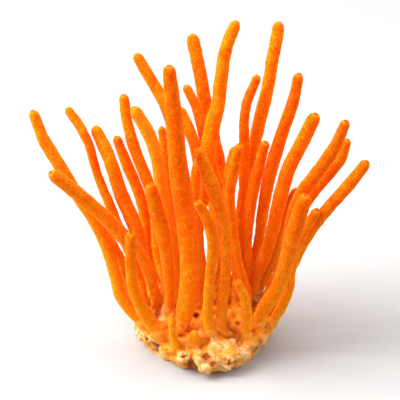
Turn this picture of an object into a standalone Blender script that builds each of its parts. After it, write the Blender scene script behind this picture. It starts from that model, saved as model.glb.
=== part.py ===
"""A bunch of orange cordyceps clubs standing on its own lumpy pad.

Blender works in metres, +Z up; the sizes below are millimetres and are
turned into metres as the meshes are made.  The origin is the middle of the
flat cut under the pad, and -Y is the side that is looked at.

The clubs were traced on a plane that faces a viewer who looks down at
VIEW_TILT.  On that plane "across" runs to the right and "rise" runs up.  A
club gets its depth from where its foot stands in the pad and from how far
back its tip reaches.  Clubs that would then run into each other are moved
apart along the line of sight, which leaves the traced picture as it was.
"""
import math

import bmesh
import bpy
import numpy as np

MM = 0.001

# The view that the clubs were traced in
VIEW_TILT = math.radians(30.0)

# The pad, an oval loaf with a flat cut under it
PAD_HALF_WIDTH = 17.0
PAD_HALF_DEPTH = 18.0
PAD_MIDDLE_BACK = 1.5
PAD_WIDEST_HEIGHT = 4.5
PAD_CROWN = 4.7
PAD_CROWN_SLOPE = 0.10
PAD_CUT_SHARE = 0.86
PAD_CUT_ROUNDING = 2.2
PAD_COLUMNS = 42
PAD_SIDE_HEIGHTS = (0.0, 0.9, 2.2, 3.6, 5.0)
PAD_TOP_SHARES = (0.955, 0.87, 0.74, 0.58, 0.40, 0.21)

# Knobs on the pad's top: height, then how fast and from where they run in
# waves across the pad and back over it
PAD_KNOBS = ((0.28, 0.9, 1.3, 0.8, 0.4), (0.16, 2.1, 1.3, 1.9, 0.4))

# The clubs: round tubes with eight flat sides, which are made a little
# thicker so that they hold as much as a round club.  TIP_STEPS are the smaller
# rings of the tip, how far out and how wide, in shares of its radius.
FOOT_DEPTH = 1.5
FOOT_STEP = 0.1
BACKWARD_BOW = 1.15
CLUB_BEVEL_RESOLUTION = 2
FLAT_SIDE_ALLOWANCE = 1.04
RING_SPACING = 10.6
RING_SPACING_PER_TURN = 16.0
TIP_STEPS = ((0.72, 0.70), (0.98, 0.22))

# The gap round a club's foot in the pad, and how far up the club it is cut
SOCKET_GAP = 0.32
SOCKET_REACH = 9.0

# Moving clubs apart: the room between their surfaces, the samples on a line,
# and how large and how soft each of the many small moves is
CLUB_CLEARANCE = 0.60
TRACE_SAMPLES = 40
SETTLE_ROUNDS = 900
SETTLE_SHARE = 0.35
SETTLE_SPREAD = 3.5
SETTLE_REACH = 9
SETTLED_WITHIN = 0.01

# Colours
CLUB_ORANGE = (0.90, 0.26, 0.02, 1.0)
CLUB_ROUGHNESS = 0.75
PAD_CREAM = (0.78, 0.46, 0.20, 1.0)
PAD_ROUGHNESS = 0.85

# Lumps and folds round the pad's side: the angle in degrees and the height of
# the middle, how far it comes out or goes in, half its angle, half its height
PAD_LUMPS = [
    (-88.0, 2.6, 1.5, 11.0, 2.6),
    (-113.0, 3.2, 0.4, 7.0, 2.4),
    (-130.0, 3.0, -2.3, 13.0, 3.6),
    (-151.0, 3.6, -0.7, 9.0, 2.8),
    (-176.0, 4.6, 0.6, 10.0, 3.0),
    (-64.0, 3.2, 0.8, 10.0, 2.4),
    (-44.0, 3.4, -0.3, 9.0, 2.2),
    (-22.0, 4.0, -0.4, 9.0, 2.6),
    (4.0, 5.0, 0.8, 10.0, 3.0),
    (32.0, 4.2, 0.6, 11.0, 2.8),
    (58.0, 4.6, 0.8, 12.0, 2.8),
    (86.0, 4.0, 0.5, 12.0, 3.0),
    (112.0, 4.8, 0.8, 11.0, 2.8),
    (140.0, 4.0, 0.6, 12.0, 2.6),
    (163.0, 4.6, 0.7, 9.0, 2.8),
    (-103.0, 2.2, -3.4, 4.2, 2.8),
    (-77.0, 1.4, -1.2, 4.0, 2.0),
    (-141.0, 3.6, -0.4, 4.0, 2.4),
    (-33.0, 2.4, -0.9, 4.0, 2.2),
    (-10.0, 3.2, -0.8, 4.5, 2.6),
    (45.0, 3.4, -0.8, 5.0, 2.8),
    (100.0, 3.4, -0.8, 5.0, 2.8),
    (127.0, 3.4, -0.7, 5.0, 2.6),
]

# Each club: its name, its foot in the pad (across, back, radius), how far back
# its tip is, and its middle line from the tip down (across, rise, radius)
CLUBS = [
    ("club_left_outer", (-14.0, -3.0, 1.25), 6.0, [
        (-42.4, 57.1, 1.30), (-41.9, 55.8, 1.50), (-40.0, 51.0, 1.55),
        (-36.9, 46.0, 1.60), (-33.8, 40.5, 1.60), (-31.0, 36.1, 1.50),
        (-27.8, 31.0, 1.40), (-25.3, 26.0, 1.40), (-23.5, 21.0, 1.45),
        (-21.8, 15.3, 1.50), (-20.0, 10.2, 1.55)]),
    ("club_left_low", (-15.0, 1.0, 1.10), 5.0, [
        (-28.4, 33.8, 1.20), (-26.4, 29.4, 1.30), (-23.7, 25.8, 1.30),
        (-22.2, 22.9, 1.30), (-20.8, 20.4, 1.30), (-19.8, 17.0, 1.25),
        (-18.8, 13.3, 1.20)]),
    ("club_left_sweeping", (-12.0, 4.3, 1.20), -6.0, [
        (-37.3, 42.1, 1.60), (-34.8, 40.0, 1.80), (-32.5, 38.3, 1.80),
        (-26.9, 33.6, 1.75), (-23.4, 30.3, 1.90), (-20.8, 27.3, 2.00),
        (-18.5, 25.3, 1.75), (-16.5, 23.3, 1.50), (-14.8, 20.5, 1.40),
        (-13.5, 17.5, 1.30), (-12.9, 14.5, 1.25)]),
    ("club_left_front", (-11.0, -7.0, 1.80), -11.0, [
        (-18.3, 26.8, 1.50), (-18.3, 23.5, 1.60), (-18.4, 20.5, 1.40),
        (-18.3, 17.3, 1.35), (-17.9, 14.3, 1.40), (-16.8, 11.3, 1.55),
        (-15.4, 8.8, 1.60), (-13.9, 6.3, 1.75), (-12.3, 4.0, 1.90)]),
    ("club_left_thin", (-15.0, 5.6, 1.10), 17.0, [
        (-33.8, 58.1, 1.10), (-32.4, 56.3, 1.20), (-30.9, 54.0, 1.20),
        (-28.6, 49.0, 1.15), (-27.3, 44.0, 1.15), (-25.5, 39.0, 1.15),
        (-23.6, 34.5, 1.20), (-21.8, 30.0, 1.20), (-19.8, 25.0, 1.20),
        (-17.8, 20.0, 1.15), (-16.0, 15.3, 1.10)]),
    ("club_left_broad", (-12.6, 8.8, 1.20), 12.0, [
        (-27.0, 53.1, 1.45), (-25.9, 51.0, 1.60), (-23.8, 46.4, 1.70),
        (-22.3, 41.5, 1.75), (-20.3, 36.0, 1.80), (-19.0, 33.3, 1.85),
        (-17.9, 30.5, 1.85), (-17.0, 27.5, 1.75), (-16.0, 24.5, 1.60),
        (-14.8, 20.5, 1.40), (-13.8, 17.0, 1.30)]),
    ("club_left_shaded", (-10.4, 12.4, 1.10), 23.0, [
        (-21.9, 50.9, 1.20), (-21.1, 48.5, 1.40), (-18.9, 43.5, 1.45),
        (-16.6, 38.0, 1.40), (-15.8, 35.3, 1.40), (-15.1, 32.0, 1.40),
        (-14.8, 28.0, 1.35), (-14.5, 24.0, 1.25), (-13.9, 20.5, 1.15),
        (-13.0, 17.8, 1.10)]),
    ("club_left_upright", (-8.6, 8.4, 1.10), 20.0, [
        (-20.2, 61.1, 1.25), (-20.0, 58.5, 1.30), (-18.6, 52.5, 1.40),
        (-16.6, 46.0, 1.50), (-15.4, 43.3, 1.50), (-14.4, 40.8, 1.50),
        (-13.0, 36.0, 1.40), (-12.0, 31.0, 1.30), (-11.0, 24.8, 1.20),
        (-10.0, 18.5, 1.10)]),
    ("club_left_inner_front", (-9.2, 0.6, 1.25), -5.0, [
        (-13.4, 38.9, 1.50), (-13.0, 36.5, 1.80), (-12.0, 33.8, 1.85),
        (-10.7, 28.3, 1.85), (-9.6, 22.8, 1.65), (-9.4, 19.8, 1.50),
        (-9.0, 16.5, 1.40), (-8.8, 13.5, 1.30), (-9.0, 10.5, 1.25)]),
    ("club_left_inner", (-6.6, 4.8, 1.10), 9.0, [
        (-17.1, 57.8, 1.60), (-15.9, 55.6, 1.70), (-13.1, 50.5, 1.65),
        (-11.8, 45.3, 1.55), (-11.0, 39.5, 1.45), (-10.3, 36.0, 1.45),
        (-9.3, 32.0, 1.40), (-8.4, 28.0, 1.35), (-7.8, 23.5, 1.30),
        (-7.3, 18.5, 1.20), (-7.0, 14.3, 1.15)]),
    ("club_middle_thick", (-6.0, -6.5, 1.05), -1.0, [
        (-8.8, 67.8, 1.50), (-8.7, 65.5, 1.75), (-8.0, 60.0, 1.80),
        (-7.3, 54.0, 1.85), (-6.9, 48.0, 2.00), (-6.7, 45.0, 2.15),
        (-6.2, 42.0, 2.30), (-5.5, 35.3, 2.35), (-5.0, 32.0, 2.30),
        (-4.1, 25.5, 2.15), (-3.9, 18.5, 2.15), (-3.9, 15.5, 2.20),
        (-4.1, 12.8, 2.25), (-4.5, 10.3, 2.20), (-5.1, 7.5, 1.95),
        (-5.6, 5.0, 1.50)]),
    ("club_middle_small", (-5.2, 11.0, 1.05), 27.0, [
        (-10.8, 53.5, 1.00), (-10.6, 51.0, 1.10), (-10.3, 48.5, 1.10),
        (-9.8, 44.8, 1.10), (-9.0, 37.3, 1.10), (-7.8, 28.5, 1.10),
        (-6.3, 20.5, 1.10)]),
    ("club_middle_leaning", (-3.0, 7.2, 1.10), 25.0, [
        (-16.7, 71.4, 1.35), (-15.4, 69.3, 1.40), (-12.5, 64.3, 1.45),
        (-9.8, 59.3, 1.50), (-8.6, 56.0, 1.50), (-8.1, 52.3, 1.45),
        (-7.8, 46.0, 1.40), (-6.5, 37.3, 1.30), (-5.3, 28.5, 1.20),
        (-4.0, 19.8, 1.15)]),
    ("club_middle_tall_left", (3.2, 12.6, 1.10), 34.0, [
        (-3.0, 76.0, 1.60), (-2.5, 73.3, 1.65), (-1.0, 66.5, 1.70),
        (-0.5, 63.3, 1.70), (0.1, 60.0, 1.65), (1.3, 55.5, 1.60),
        (2.3, 51.5, 1.50), (3.0, 48.0, 1.50), (4.0, 43.5, 1.40),
        (4.6, 38.0, 1.30), (5.0, 31.0, 1.20), (4.6, 23.5, 1.15)]),
    ("club_middle_tall_right", (0.4, 7.0, 1.05), 21.0, [
        (7.3, 79.1, 1.55), (6.1, 76.6, 1.60), (5.3, 73.8, 1.60),
        (4.2, 68.0, 1.65), (3.6, 62.0, 1.75), (3.0, 59.0, 1.80),
        (1.6, 53.3, 2.00), (0.6, 46.8, 1.85), (0.3, 42.3, 1.75),
        (0.0, 38.5, 1.60), (-0.6, 34.8, 1.50), (-1.3, 31.5, 1.25),
        (-1.4, 27.3, 1.05), (-0.8, 21.8, 1.00), (-0.2, 16.8, 1.00)]),
    ("club_middle_speckled", (4.0, -5.0, 1.35), 0.0, [
        (-1.5, 47.8, 1.30), (-0.6, 45.5, 1.70), (0.4, 43.0, 1.80),
        (1.3, 40.5, 1.85), (2.1, 38.0, 1.80), (3.7, 33.5, 1.55),
        (4.9, 28.5, 1.30), (5.0, 26.0, 1.35), (5.3, 20.5, 1.30),
        (5.0, 16.0, 1.25), (4.4, 10.3, 1.35), (4.0, 7.3, 1.40)]),
    ("club_middle_front", (2.0, -9.5, 1.30), -13.0, [
        (-1.6, 34.9, 1.20), (-0.5, 33.0, 1.35), (0.8, 30.8, 1.50),
        (1.6, 28.3, 1.55), (1.9, 25.5, 1.45), (1.8, 23.0, 1.30),
        (1.3, 18.0, 1.20), (0.8, 12.0, 1.30), (0.8, 8.5, 1.35),
        (1.4, 3.0, 1.35)]),
    ("club_middle_slim", (3.9, 4.2, 1.05), 25.0, [
        (-4.4, 63.6, 1.15), (-3.1, 61.5, 1.20), (-1.5, 56.8, 1.20),
        (-1.0, 54.3, 1.20), (0.0, 50.5, 1.20), (1.5, 46.0, 1.20),
        (3.0, 41.5, 1.20), (3.6, 37.3, 1.20), (4.5, 29.8, 1.15),
        (4.9, 22.3, 1.10), (4.6, 16.5, 1.05)]),
    ("club_middle_slanting", (-1.2, 11.6, 1.10), 16.0, [
        (-5.8, 57.9, 1.20), (-4.8, 55.5, 1.40), (-3.6, 52.5, 1.50),
        (-2.6, 50.0, 1.50), (-1.9, 47.0, 1.45), (-1.5, 42.3, 1.35),
        (-2.0, 36.0, 1.30), (-2.5, 28.5, 1.20), (-2.4, 21.0, 1.15)]),
    ("club_middle_inner", (-1.6, 3.2, 1.10), 9.0, [
        (-0.8, 48.0, 1.20), (-2.0, 43.5, 1.30), (-2.6, 40.3, 1.30),
        (-2.6, 36.5, 1.30), (-2.3, 31.0, 1.20), (-1.8, 23.5, 1.10),
        (-1.5, 16.0, 1.10)]),
    ("club_right_tall", (6.4, 12.5, 1.10), 33.0, [
        (18.3, 79.0, 1.50), (17.8, 76.5, 1.60), (16.8, 70.5, 1.60),
        (15.7, 64.3, 1.60), (14.3, 58.0, 1.60), (13.4, 55.0, 1.65),
        (12.6, 52.0, 1.60), (12.1, 46.5, 1.50), (11.6, 41.5, 1.40),
        (11.1, 37.3, 1.35), (10.3, 31.0, 1.25), (9.5, 24.8, 1.15),
        (8.5, 19.0, 1.10)]),
    ("club_right_thin", (9.6, 12.2, 1.10), 25.0, [
        (12.8, 66.1, 1.15), (11.8, 64.0, 1.20), (10.1, 59.0, 1.25),
        (9.8, 56.0, 1.25), (9.9, 48.5, 1.35), (9.9, 41.0, 1.40),
        (9.6, 37.3, 1.50), (9.1, 33.5, 1.40), (8.8, 29.8, 1.25),
        (8.6, 24.8, 1.15), (9.0, 19.5, 1.10)]),
    ("club_right_curved", (8.4, 15.4, 1.10), 22.0, [
        (23.2, 66.4, 1.30), (23.0, 64.3, 1.40), (21.4, 59.0, 1.50),
        (19.5, 53.4, 1.60), (17.6, 47.5, 1.70), (15.9, 41.3, 1.60),
        (14.9, 35.3, 1.55), (14.4, 32.3, 1.45), (14.0, 29.0, 1.35),
        (13.6, 26.5, 1.30), (12.9, 23.0, 1.25), (11.6, 19.6, 1.15)]),
    ("club_right_broad", (11.2, 8.9, 1.40), 8.0, [
        (26.9, 56.0, 1.70), (25.9, 53.8, 1.75), (23.4, 49.0, 1.80),
        (20.9, 44.0, 1.80), (19.3, 38.8, 1.85), (18.0, 33.5, 1.80),
        (16.9, 28.5, 1.65), (16.4, 26.5, 1.55), (15.5, 23.5, 1.60),
        (14.3, 20.5, 1.65), (13.0, 17.8, 1.60)]),
    ("club_right_outer_upper", (14.2, 5.9, 1.15), -2.0, [
        (34.5, 54.6, 1.25), (33.6, 52.5, 1.50), (31.5, 48.0, 1.60),
        (28.6, 43.9, 1.65), (25.6, 40.0, 1.75), (24.3, 38.0, 1.75),
        (22.8, 35.3, 1.60), (21.8, 32.3, 1.50), (21.0, 28.5, 1.40),
        (20.5, 24.8, 1.35), (19.5, 20.5, 1.30), (17.8, 16.8, 1.25)]),
    ("club_right_outer_behind", (15.2, 9.5, 1.05), 14.0, [
        (35.3, 50.3, 1.05), (34.8, 48.5, 1.35), (32.9, 44.8, 1.50),
        (29.9, 41.4, 1.35), (27.0, 37.6, 1.25), (25.3, 35.0, 1.20),
        (23.5, 31.5, 1.20), (22.3, 27.3, 1.15), (21.3, 23.0, 1.10),
        (20.0, 19.0, 1.10)]),
    ("club_right_outer", (15.8, 2.4, 1.15), -3.0, [
        (39.5, 44.6, 1.40), (37.9, 42.5, 1.50), (36.3, 40.5, 1.55),
        (32.8, 36.5, 1.55), (29.3, 32.5, 1.50), (26.1, 28.0, 1.45),
        (24.6, 25.5, 1.40), (23.3, 23.0, 1.40), (22.1, 20.5, 1.35),
        (20.7, 17.3, 1.30), (19.0, 14.0, 1.25)]),
    ("club_right_front", (12.6, -3.6, 1.50), -9.0, [
        (24.5, 35.9, 1.80), (23.9, 33.8, 2.05), (23.0, 31.3, 2.05),
        (21.5, 26.0, 2.00), (20.9, 23.3, 2.00), (20.1, 20.5, 1.95),
        (19.4, 17.8, 1.90), (18.4, 15.0, 1.85), (17.1, 12.5, 1.85),
        (15.5, 10.3, 1.80), (14.0, 7.8, 1.70)]),
    ("club_right_low", (16.0, -1.4, 1.05), 1.0, [
        (27.4, 32.9, 1.15), (26.1, 31.1, 1.25), (25.0, 29.0, 1.25),
        (23.4, 25.3, 1.25), (22.2, 22.3, 1.25), (21.4, 19.0, 1.30),
        (21.1, 16.0, 1.35), (20.6, 13.0, 1.40), (19.6, 10.4, 1.35),
        (18.1, 7.9, 1.25)]),
    ("club_right_winding", (10.6, 4.4, 1.10), 4.0, [
        (8.4, 48.9, 1.30), (7.9, 46.8, 1.40), (6.8, 42.0, 1.40),
        (6.2, 37.0, 1.30), (6.3, 34.5, 1.25), (6.6, 32.0, 1.20),
        (7.5, 26.0, 1.05), (8.4, 20.5, 1.10), (9.5, 16.0, 1.15),
        (10.5, 13.0, 1.15)]),
    ("club_right_twin", (7.0, 5.6, 1.05), 10.0, [
        (7.1, 48.1, 1.15), (6.4, 46.0, 1.15), (5.8, 43.0, 1.15),
        (5.5, 38.5, 1.15), (6.0, 32.3, 1.10), (7.0, 26.0, 1.05),
        (7.5, 20.5, 1.05), (7.8, 15.5, 1.05)]),
    ("club_right_middle", (7.8, 8.7, 1.10), 10.0, [
        (14.8, 49.5, 1.20), (14.1, 47.3, 1.40), (13.0, 42.5, 1.50),
        (11.8, 37.5, 1.50), (11.0, 32.5, 1.45), (10.5, 27.5, 1.40),
        (10.3, 22.5, 1.30), (10.0, 18.5, 1.20)]),
    ("club_right_front_short", (10.1, -8.0, 1.20), -11.0, [
        (8.0, 15.5, 1.15), (8.9, 13.8, 1.25), (9.8, 11.5, 1.25),
        (10.2, 9.3, 1.25), (10.4, 6.8, 1.20), (10.4, 4.3, 1.25)]),
    ("club_right_hooked", (12.8, 12.3, 1.05), 6.0, [
        (22.6, 38.0, 1.20), (21.5, 36.0, 1.25), (20.6, 33.8, 1.25),
        (19.8, 31.3, 1.20), (19.0, 28.8, 1.15), (18.3, 26.3, 1.10),
        (18.0, 23.5, 1.15), (17.0, 20.6, 1.15), (15.6, 17.6, 1.10)]),
    ("club_stub_left", (-7.5, -11.5, 1.10), -12.6, [
        (-8.2, 5.9, 0.95), (-8.0, 3.5, 1.10), (-7.7, 0.9, 1.12)]),
    ("club_stub_middle", (-2.3, -10.6, 1.00), -11.4, [
        (-2.7, 2.6, 0.90), (-2.5, 1.6, 0.98)]),
    ("club_back_far_left", (-13.0, 12.0, 1.05), 23.0, [
        (-22.0, 28.5, 1.15), (-20.4, 25.6, 1.25), (-17.6, 20.4, 1.15)]),
    ("club_back_left", (-8.9, 15.6, 1.10), 28.0, [
        (-13.7, 36.5, 1.20), (-13.3, 31.5, 1.40), (-12.7, 25.0, 1.40),
        (-11.9, 20.0, 1.25)]),
    ("club_back_middle_left", (-2.8, 15.8, 1.10), 29.0, [
        (-5.0, 40.5, 1.30), (-4.8, 36.5, 1.40), (-3.8, 27.0, 1.20)]),
    ("club_back_middle_right", (1.0, 16.4, 1.05), 31.0, [
        (1.5, 37.6, 1.20), (2.1, 33.4, 1.30), (2.9, 26.5, 1.20)]),
    ("club_back_right", (4.9, 16.4, 1.10), 28.0, [
        (9.6, 36.5, 1.20), (9.0, 33.2, 1.30), (7.4, 26.0, 1.15)]),
]


def pad_top(across, back):
    """Height of the pad's upper face over a point."""
    share = math.hypot(across / PAD_HALF_WIDTH, (back - PAD_MIDDLE_BACK) / PAD_HALF_DEPTH)
    fall = math.sqrt(1.0 - min(share, 1.0) ** 3)
    return PAD_WIDEST_HEIGHT + (PAD_CROWN + PAD_CROWN_SLOPE * back) * fall


def lengths_along(points):
    """How far along a line each of its points is."""
    steps = np.linalg.norm(np.diff(points, axis=0), axis=1)
    return np.concatenate([[0.0], np.cumsum(steps)])


def read_off(rows, places, wanted):
    """Every column of rows at the wanted places."""
    return np.column_stack([np.interp(wanted, places, column) for column in rows.T])


def smooth_through(rows, steps=12):
    """A dense smooth curve that passes through each row."""
    ends = np.vstack([2.0 * rows[0] - rows[1], rows, 2.0 * rows[-1] - rows[-2]])
    share = np.linspace(0.0, 1.0, steps, endpoint=False)[:, None]
    pieces = []
    for before, start, stop, after in zip(ends, ends[1:], ends[2:], ends[3:]):
        bend = 2.0 * before - 5.0 * start + 4.0 * stop - after
        swing = 3.0 * start - before - 3.0 * stop + after
        pieces.append(start + 0.5 * ((stop - before) * share + bend * share ** 2 + swing * share ** 3))
    return np.vstack(pieces + [rows[-1:]])


def trace(foot, tip_back, line):
    """A club's middle line, foot first: across, rise, nearness and radius."""
    across, back, radius = foot
    rise = back * math.sin(VIEW_TILT) + pad_top(across, back) * math.cos(VIEW_TILT)
    dense = smooth_through(np.array([(across, rise, radius)] + line[::-1]))
    places = lengths_along(dense[:, :2])
    rows = read_off(dense, places, np.linspace(0.0, places[-1], TRACE_SAMPLES))
    share = np.linspace(0.0, 1.0, TRACE_SAMPLES) ** BACKWARD_BOW
    backs = back + (tip_back - back) * share
    nearness = (rows[:, 1] * math.sin(VIEW_TILT) - backs) / math.cos(VIEW_TILT)
    return np.column_stack([rows[:, :2], nearness, rows[:, 2]])


def meetings(lines):
    """The pairs of clubs that cross in the view, with the room they need."""
    found = []
    for one in range(len(lines)):
        for other in range(one + 1, len(lines)):
            a = lines[one][:, None, :]
            b = lines[other][None, :, :]
            flat = np.hypot(a[:, :, 0] - b[:, :, 0], a[:, :, 1] - b[:, :, 1])
            reach = FLAT_SIDE_ALLOWANCE * (a[:, :, 3] + b[:, :, 3]) + CLUB_CLEARANCE
            crossing = flat < reach
            if crossing.any():
                side = np.sign((a[:, :, 2] - b[:, :, 2])[crossing].mean())
                need = np.sqrt(np.clip(reach ** 2 - flat ** 2, 0.0, None))
                found.append((one, other, side, need, crossing))
    return found


def settle(lines):
    """Move crossing clubs apart along the line of sight until none touch."""
    spread = np.exp(-0.5 * (np.arange(-SETTLE_REACH, SETTLE_REACH + 1) / SETTLE_SPREAD) ** 2)
    spread /= spread.sum()
    pairs = meetings(lines)
    for _ in range(SETTLE_ROUNDS):
        push = np.zeros((len(lines), TRACE_SAMPLES))
        worst = 0.0
        for one, other, side, need, crossing in pairs:
            apart = side * (lines[one][:, None, 2] - lines[other][None, :, 2])
            short = np.where(crossing, np.clip(need - apart, 0.0, None), 0.0)
            worst = max(worst, short.max())
            push[one] += SETTLE_SHARE * side * short.max(axis=1)
            push[other] -= SETTLE_SHARE * side * short.max(axis=0)
        if worst < SETTLED_WITHIN:
            break
        for line, moves in zip(lines, push):
            padded = np.pad(moves, SETTLE_REACH, mode="edge")
            line[:, 2] += np.convolve(padded, spread, mode="valid")
    return lines


def stand_up(line):
    """Turn a traced line into x, y, z, radius, with its foot set into the pad."""
    across, rise, nearness, radius = line.T
    back = rise * math.sin(VIEW_TILT) - nearness * math.cos(VIEW_TILT)
    height = rise * math.cos(VIEW_TILT) + nearness * math.sin(VIEW_TILT)
    rows = np.column_stack([across, back, height, radius])
    above = [row[2] > pad_top(row[0], row[1]) - FOOT_DEPTH for row in rows]
    rows = rows[above.index(True):]
    down = rows[0, :3] - rows[1, :3]
    down /= np.linalg.norm(down)
    foot = rows[0].copy()
    while foot[2] > pad_top(foot[0], foot[1]) - FOOT_DEPTH:
        foot[:3] += FOOT_STEP * down
    return np.vstack([foot, rows])


def place_rings(rows):
    """Few rings along a line, closer together where it bends."""
    steps = np.diff(rows[:, :3], axis=0)
    sizes = np.linalg.norm(steps, axis=1)
    headings = steps / sizes[:, None]
    turns = np.linalg.norm(np.diff(headings, axis=0, prepend=headings[:1]), axis=1)
    places = np.concatenate([[0.0], np.cumsum(sizes + RING_SPACING_PER_TURN * turns)])
    count = max(3, round(places[-1] / RING_SPACING) + 2)
    return read_off(rows, places, np.linspace(0.0, places[-1], count))


def heading_at_end(rings):
    """The direction in which a line of rings leaves its last ring."""
    last = rings[-1, :3] - rings[-2, :3]
    return last / np.linalg.norm(last)


def round_off(rings):
    """Add the smaller rings of a rounded tip."""
    heading = heading_at_end(rings)
    radius = rings[-1, 3]
    tip = [np.append(rings[-1, :3] + out * radius * heading, share * radius) for out, share in TIP_STEPS]
    return np.vstack([rings, tip])


def tube(name, rings, grow):
    """A closed tube along the rings: a bevelled curve turned into a mesh."""
    curve = bpy.data.curves.new(name, "CURVE")
    curve.dimensions = "3D"
    curve.bevel_depth = MM
    curve.bevel_resolution = CLUB_BEVEL_RESOLUTION
    curve.use_fill_caps = True
    spline = curve.splines.new("POLY")
    spline.points.add(len(rings) - 1)
    for point, (x, y, z, radius) in zip(spline.points, rings):
        point.co = (x * MM, y * MM, z * MM, 1.0)
        point.radius = radius * FLAT_SIDE_ALLOWANCE + grow
    guide = bpy.data.objects.new(name + "_guide", curve)
    bpy.context.collection.objects.link(guide)
    seen = guide.evaluated_get(bpy.context.evaluated_depsgraph_get())
    mesh = bpy.data.meshes.new_from_object(seen)
    bpy.data.objects.remove(guide, do_unlink=True)
    return finish_mesh(name, mesh)


def finish_mesh(name, mesh):
    """Split the four-sided faces, point every face outwards and link the piece."""
    shape = bmesh.new()
    shape.from_mesh(mesh)
    bmesh.ops.remove_doubles(shape, verts=shape.verts, dist=MM * 0.001)
    bmesh.ops.triangulate(shape, faces=[face for face in shape.faces if len(face.verts) == 4])
    bmesh.ops.recalc_face_normals(shape, faces=shape.faces)
    shape.to_mesh(mesh)
    shape.free()
    mesh.name = name
    mesh.shade_smooth()
    piece = bpy.data.objects.new(name, mesh)
    bpy.context.collection.objects.link(piece)
    return piece


def lumps_out(angle, height):
    """How far the pad's lumps and folds push its side out."""
    out = 0.0
    for lump_angle, lump_height, far, half_angle, half_height in PAD_LUMPS:
        turn = (math.degrees(angle) - lump_angle + 180.0) % 360.0 - 180.0
        away = (turn / half_angle) ** 2 + ((height - lump_height) / half_height) ** 2
        out += far * math.exp(-0.5 * away)
    return out


def make_pad():
    """The pad: a profile spun into a loaf, then pushed into lumps and knobs."""
    profile = []
    for height in PAD_SIDE_HEIGHTS:
        low = max(0.0, 1.0 - height / PAD_WIDEST_HEIGHT)
        profile.append((1.0 - (1.0 - PAD_CUT_SHARE) * low ** PAD_CUT_ROUNDING, height))
    profile += [(share, PAD_WIDEST_HEIGHT + PAD_CROWN) for share in PAD_TOP_SHARES]
    shape = bmesh.new()
    verts = [shape.verts.new((share, 0.0, height)) for share, height in profile]
    edges = [shape.edges.new(pair) for pair in zip(verts, verts[1:])]
    bmesh.ops.spin(shape, geom=verts + edges, axis=(0.0, 0.0, 1.0), cent=(0.0, 0.0, 0.0),
                   angle=2.0 * math.pi, steps=PAD_COLUMNS, use_duplicate=False)
    bmesh.ops.remove_doubles(shape, verts=shape.verts, dist=0.001)
    bmesh.ops.holes_fill(shape, edges=[edge for edge in shape.edges if edge.is_boundary], sides=0)
    for vert in shape.verts:
        vert.co = pad_point(*vert.co)
    mesh = bpy.data.meshes.new("pad")
    shape.to_mesh(mesh)
    shape.free()
    return finish_mesh("pad", mesh)


def pad_point(x, y, z):
    """Where a point of the plain spun loaf lies on the real pad."""
    share = math.hypot(x, y)
    angle = math.atan2(y, x)
    on_top = z > PAD_SIDE_HEIGHTS[-1]
    if on_top:
        out = lumps_out(angle, PAD_SIDE_HEIGHTS[-1]) * share ** 3
        z = pad_top(PAD_HALF_WIDTH * x, PAD_MIDDLE_BACK + PAD_HALF_DEPTH * y)
    else:
        out = lumps_out(angle, z)
    grow = 1.0 + out / (PAD_HALF_WIDTH * share)
    across = PAD_HALF_WIDTH * x * grow
    back = PAD_MIDDLE_BACK + PAD_HALF_DEPTH * y * grow
    if on_top:
        for size, across_pace, across_shift, back_pace, back_shift in PAD_KNOBS:
            wave = math.sin(across_pace * across + across_shift)
            z += size * wave * math.sin(back_pace * back + back_shift)
    return (across * MM, back * MM, z * MM)


def make_socket(name, rings, pad):
    """Hollow the pad round a club's foot, with a thin gap."""
    places = lengths_along(rings[:, :3])
    low = rings[:int(np.searchsorted(places, SOCKET_REACH)) + 1].copy()
    low[0, :3] += SOCKET_GAP * heading_at_end(low[1::-1])
    cutter = tube("socket_" + name, low, SOCKET_GAP)
    cutter.hide_render = True
    cutter.display_type = "WIRE"
    cut = pad.modifiers.new(cutter.name, "BOOLEAN")
    cut.operation = "DIFFERENCE"
    cut.solver = "EXACT"
    cut.object = cutter


def give_material(piece, name, colour, roughness):
    """A plain matt surface of one colour."""
    material = bpy.data.materials.get(name) or bpy.data.materials.new(name)
    material.use_nodes = True
    surface = material.node_tree.nodes["Principled BSDF"]
    surface.inputs["Base Color"].default_value = colour
    surface.inputs["Roughness"].default_value = roughness
    surface.inputs["Metallic"].default_value = 0.0
    piece.data.materials.append(material)


def build():
    """Clear the file, then make the pad and every club."""
    for old in list(bpy.data.objects):
        bpy.data.objects.remove(old, do_unlink=True)
    pad = make_pad()
    lines = settle([trace(foot, tip_back, line) for _, foot, tip_back, line in CLUBS])
    for (name, _, _, _), line in zip(CLUBS, lines):
        rings = place_rings(stand_up(line))
        club = tube(name, round_off(rings), 0.0)
        give_material(club, "club_orange", CLUB_ORANGE, CLUB_ROUGHNESS)
        make_socket(name, rings, pad)
    give_material(pad, "pad_cream", PAD_CREAM, PAD_ROUGHNESS)


build()
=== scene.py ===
"""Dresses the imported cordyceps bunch: its velvety orange clubs and its lumpy pad.

Every length is in metres unless its name ends in _mm.  The bunch is looked at
from VIEW_TILT above the floor, along +Y.  What is placed by how it looks from
there is given on the view plane: "across" to the right and "rise" up it.
"""
import math

import bmesh
import bpy
import numpy as np
from bpy.props import FloatProperty, FloatVectorProperty, PointerProperty
from bpy.types import Operator, Panel, PropertyGroup
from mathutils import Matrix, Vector
from mathutils.bvhtree import BVHTree
from mathutils.kdtree import KDTree


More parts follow.
